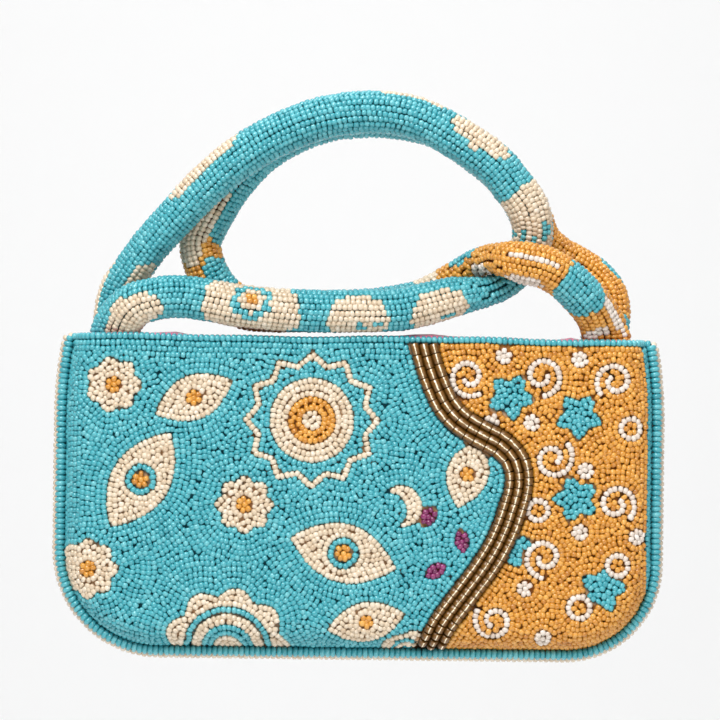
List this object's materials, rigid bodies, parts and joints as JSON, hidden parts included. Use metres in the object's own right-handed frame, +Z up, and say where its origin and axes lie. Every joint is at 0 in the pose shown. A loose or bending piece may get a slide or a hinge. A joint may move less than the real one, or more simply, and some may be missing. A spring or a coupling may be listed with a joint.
{
  "type": "beaded bag",
  "caption": "Flat pouch of beaded cloth with an open mouth, round lower corners and two crossed, padded, beaded strap loops.",
  "frame": {"origin": "where a hand holds the bag: the middle of the two strap loops at their top", "axes": "+Z up, +X to the right as the bag is seen from the front, the front faces -Y"},
  "size_m": [0.262, 0.0559, 0.243],
  "materials": {
    "turquoise_glass_beads": "opaque glossy seed beads",
    "ochre_glass_beads": "opaque glossy seed beads",
    "cream_glass_beads": "opaque glossy seed beads",
    "gold_glass_bugles": "silver-lined gold bugle beads",
    "pink_lining_cloth": "woven satin"
  },
  "bodies": {
    "root": {"front_panel": "turquoise_glass_beads", "back_panel": "turquoise_glass_beads", "front_edging": "turquoise_glass_beads", "back_edging": "cream_glass_beads", "gold_band": "gold_glass_bugles", "lining": "pink_lining_cloth", "left_strap": "turquoise_glass_beads", "right_strap": "ochre_glass_beads"}
  },
  "joints": []
}
